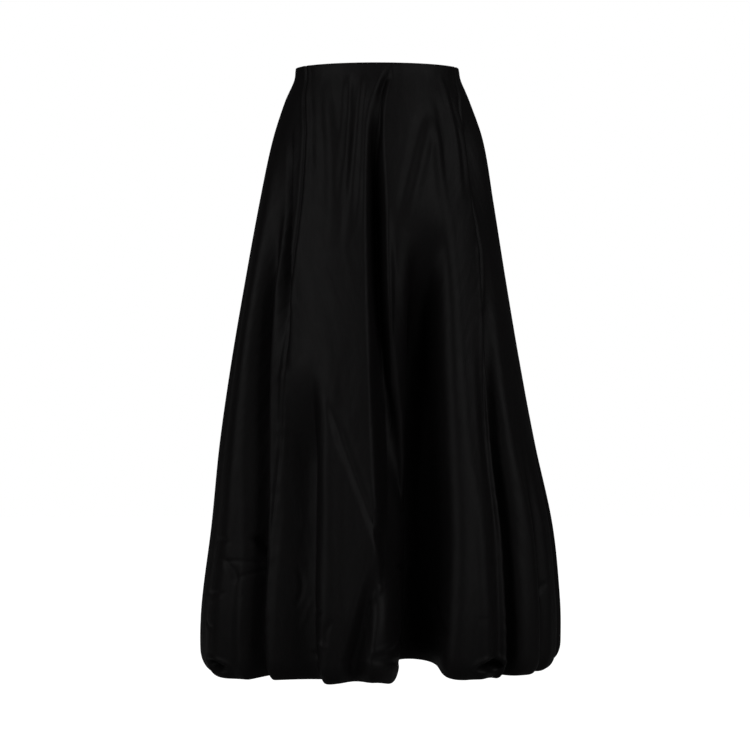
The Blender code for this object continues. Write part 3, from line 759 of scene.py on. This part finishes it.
def makeStop():
    stop = bmesh.new()
    made = bmesh.ops.create_cube(stop, size=1.0)["verts"]
    bmesh.ops.scale(stop, vec=stops["size"], verts=made)
    bmesh.ops.bevel(stop, geom=stop.edges[:], offset=stops["round"], segments=stops["segments"],
                    profile=0.5, affect="EDGES", material=-1)
    place = behindZip(0.0, coils["bottom"] - stops["below"], coils["inside"])[0]
    bmesh.ops.translate(stop, vec=place, verts=stop.verts)
    addPiece("zipStop", stop, zipMetal)


# Two rows of short stitches hold each tape to the cloth
stitches = {
    "rowsAt": (0.0038, 0.0098),    # from the tape's near edge
    "fromTop": 0.004,
    "fromBottom": 0.002,
    "pitch": 0.0030,
    "long": 0.0022,
    "wide": 0.00032,
    "sunk": 0.0001,                # how far a stitch beds into the tape
    "tilt": 4.0,
    "sides": 6,
}


def makeStitches():
    rows = bmesh.new()
    height = np.arange(tapes["top"] - stitches["fromTop"], tapes["bottom"] + stitches["fromBottom"],
                       -stitches["pitch"])
    size = (stitches["wide"], stitches["wide"], stitches["long"])
    inside = tapes["inside"] + tapes["thick"] / 2.0 + stitches["wide"] / 2.0 - stitches["sunk"]
    turns = np.full(len(height), radians(stitches["tilt"]))
    for side in (-1.0, 1.0):
        for away in stitches["rowsAt"]:
            seats = behindZip(side * (tapes["inner"] + away), height, inside)
            addRods(rows, seats, size, stitches["sides"], True, turns)
    addPiece("zipStitches", rows, thread)


makeTape("zipTapeRight", 1.0)
makeTape("zipTapeLeft", -1.0)
makeCoil()
makeStop()
makeStitches()
print("zip made")

panels = {
    "edgeColumns": (0.0, 0.0007, 0.0015, 0.0025, 0.0038, 0.0055, 0.0078),   # beside a seam
    "frontColumns": 178,
    "backColumns": 180,
    "measuredHeight": -0.80,       # height at which the columns are evenly wide
    "samples": 4001,
    "fineFrom": -0.70,             # below this height the rows are closer
    "upperRows": 136,
    "lowerRows": 66,
    "rollRows": 52,
    "turnRows": 4,
    "asideStep": 0.0004,           # share of a panel's width over which its slope is read
    "edgeRise": 0.0003,            # the cloth turned over at the waist swells a little
    "edgeAt": -0.004,
    "edgeWidth": 0.003,
    "edgeRound": 0.0004,           # rounding of the folded edges, at the waist and the seams
    "edgeSegments": 2,
    "edgeAngle": 75.0,
}


# Places of a panel's columns between its seams, from 0 to 1, at even widths of cloth
def evenShares(start, finish, columns):
    height = np.array(panels["measuredHeight"])
    shares = np.linspace(0.0, 1.0, panels["samples"])
    first, last = seamAngle(start, height), seamAngle(finish, height)
    angles = first + (last - first) * shares
    lengths = clothLength(wallPoint(angles, np.full_like(angles, height)), 0)
    edge = np.array(panels["edgeColumns"])
    middle = np.linspace(edge[-1], lengths[-1] - edge[-1], columns - 2 * len(edge) + 3)
    places = np.concatenate((edge[:-1], middle, lengths[-1] - edge[-2::-1]))
    return np.interp(places, lengths, shares)


# Points of a panel's middle face, row by row from the waist down, under and up inside
def panelGrid(start, finish, shares):
    def angleAt(height):
        first, last = seamAngle(start, height), seamAngle(finish, height)
        return first + (last - first) * shares

    middle = np.full_like(shares, form["hemMiddle"])
    rounding = hemHeight(angleAt(middle)) + form["rollDrop"]
    upper = np.linspace(0.0, 1.0, panels["upperRows"] + 1)[:, None]
    lower = np.linspace(0.0, 1.0, panels["lowerRows"] + 1)[1:, None]
    heights = np.concatenate((panels["fineFrom"] * upper * np.ones_like(shares),
                              panels["fineFrom"] + (rounding - panels["fineFrom"]) * lower))
    angles = angleAt(heights)
    wall = wallPoint(angles, heights)

    base, angle = wall[-1:], angles[-1:]
    effect = foldEffect(angle, heights[-1:])
    inward = np.radians(angle + effect["aim"] + effect["under"])
    t = np.linspace(0.0, pi, panels["rollRows"] + 1)[1:, None]
    up = np.linspace(0.0, 1.0, panels["turnRows"] + 1)[1:, None]
    reach = np.concatenate((form["rollReach"] * (1.0 - np.cos(t)) / 2.0,
                            form["rollReach"] + form["turnIn"] * up))
    rise = np.concatenate((-form["rollDrop"] * np.sin(t),
                           (form["turnUp"] - form["rollDrop"]) * up))
    under = np.stack((base[..., 0] - np.sin(inward) * reach,
                      base[..., 1] + np.cos(inward) * reach, base[..., 2] + rise), axis=-1)
    points = np.concatenate((wall, under))
    angles = np.concatenate((angles, np.repeat(angle, len(reach), axis=0)))
    down = np.hypot(np.diff(reach, axis=0, prepend=0.0), np.diff(rise, axis=0, prepend=0.0))
    drop = np.concatenate((heights, heights[-1:] - np.cumsum(down, axis=0)))
    return points, angles, drop


# The way out of the cloth, the same for both panels at the seam that joins them
def outwardNormals(points, start, finish, shares):
    step = panels["asideStep"]
    right, left = (panelGrid(start, finish, shares + way)[0] for way in (step, -step))
    normals = np.cross(np.gradient(points, axis=0), right - left)
    return normals / np.linalg.norm(normals, axis=-1, keepdims=True)


# A panel of satin: a flat grid laid on the skirt's form, creased, then given its thickness
def makePanel(name, start, finish, columns, replaced):
    shares = evenShares(start, finish, columns)[None, :]
    points, angles, drop = panelGrid(start, finish, shares)
    along = clothLength(points, 1)
    across = along[:, -1:] - along
    concealed = concealedShare(drop)
    relief = creaseRelief(angles, drop) + pocketRelief(angles, drop)
    relief += seamRelief(along, drop, concealed * (start == "centreBackLeft"))
    relief += seamRelief(across, drop, concealed * (finish == "centreBack"))
    relief += panels["edgeRise"] * swelling(drop - panels["edgeAt"], panels["edgeWidth"])
    points = points + outwardNormals(points, start, finish, shares) * relief[..., None]

    grid = layGrid(points, np.stack((along - along[:, -1:] / 2.0, drop), axis=-1))
    panel = addPiece(name, grid, satin)
    panel.data.materials.append(satinReverse)
    wall = panel.modifiers.new("wall", "SOLIDIFY")
    wall.thickness = form["wall"]
    wall.offset = 0.0
    wall.material_offset = 1
    edges = panel.modifiers.new("turned edges", "BEVEL")
    edges.width = panels["edgeRound"]
    edges.segments = panels["edgeSegments"]
    edges.profile = 0.5
    edges.limit_method = "ANGLE"
    edges.angle_limit = radians(panels["edgeAngle"])
    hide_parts(replaced)
    area = sum(face.area for face in panel.data.polygons)
    length, width = clothLength(points, 0)[-1].max(), along[:, -1].max()
    print(f"{name}: {len(panel.data.polygons)} faces, {area:.3f} square metres, "
          f"cut from {width:.2f} x {length:.2f} m")
    return panel


# Each panel's seams and columns, and the rectangle and area that it was cut to
cuts = (
    ("skirtFront", "left", "right", panels["frontColumns"], "front_panel",
     (0.64, 1.00), 0.451),
    ("skirtBackRight", "right", "centreBack", panels["backColumns"], "back_panel_right",
     (0.83, 0.99), 0.536),
    ("skirtBackLeft", "centreBackLeft", "left", panels["backColumns"], "back_panel_left",
     (0.80, 1.00), 0.566),
)
for *pieces, flat, flatArea in cuts:
    panel = makePanel(*pieces)
print("panels made")

studio = {
    "floorHeight": -1.04,
    "floorSize": 14.0,
    "world": 0.035,
    "target": (0.0, 0.0, -0.45),
    "lights": (                    # place, size and watts of each
        ("keyLeft", (-2.7, -2.5, 1.3), 2.6, 48.0),
        ("keyRight", (2.8, -2.4, 1.3), 2.6, 48.0),
        ("behind", (0.0, 3.2, 1.4), 2.0, 5.0),
    ),
    "eye": (-0.0023, -4.2, -0.463),
    "lens": 133.1,
    "sensor": 36.0,
}
for name, place, size, power in studio["lights"]:
    lamp = bpy.data.lights.new(name, "AREA")
    lamp.size = size
    lamp.energy = power
    holder = bpy.data.objects.new(name, lamp)
    bpy.context.scene.collection.objects.link(holder)
    holder.location = place
    ray = Vector(studio["target"]) - Vector(place)
    holder.rotation_euler = ray.to_track_quat("-Z", "Y").to_euler()

floorShape = bmesh.new()
bmesh.ops.create_grid(floorShape, x_segments=1, y_segments=1, size=studio["floorSize"] / 2.0)
bmesh.ops.translate(floorShape, vec=(0.0, 0.0, studio["floorHeight"]), verts=floorShape.verts)
floorMesh = bpy.data.meshes.new("floor")
floorShape.to_mesh(floorMesh)
floorShape.free()
floor = bpy.data.objects.new("floor", floorMesh)
bpy.context.scene.collection.objects.link(floor)
paper, paperTree, paperShader = makeNodes("palePaper")
paperShader.inputs["Base Color"].default_value = (0.5, 0.5, 0.5, 1.0)
paperShader.inputs["Roughness"].default_value = 0.9
paperShader.inputs["Emission Color"].default_value = (1.0, 1.0, 1.0, 1.0)
seen = paperTree.nodes.new("ShaderNodeLightPath").outputs["Is Camera Ray"]
paperTree.links.new(seen, paperShader.inputs["Emission Strength"])
floor.data.materials.append(paper)

world = bpy.data.worlds.new("studio")
bpy.context.scene.world = world
world.use_nodes = True
backdrop = world.node_tree.nodes["Background"]
backdrop.inputs["Color"].default_value = (1.0, 1.0, 1.0, 1.0)
seen = world.node_tree.nodes.new("ShaderNodeLightPath").outputs["Is Camera Ray"]
strength = world.node_tree.nodes.new("ShaderNodeMapRange")
strength.inputs["To Min"].default_value = studio["world"]
strength.inputs["To Max"].default_value = 1.0
world.node_tree.links.new(seen, strength.inputs["Value"])
world.node_tree.links.new(strength.outputs["Result"], backdrop.inputs["Strength"])

cameraData = bpy.data.cameras.new("camera")
cameraData.lens = studio["lens"]
cameraData.sensor_width = studio["sensor"]
camera = bpy.data.objects.new("camera", cameraData)
bpy.context.scene.collection.objects.link(camera)
camera.location = studio["eye"]
camera.rotation_euler = (pi / 2.0, 0.0, 0.0)
bpy.context.scene.camera = camera
bpy.context.scene.view_settings.view_transform = "Standard"
print("studio set")

print("done")
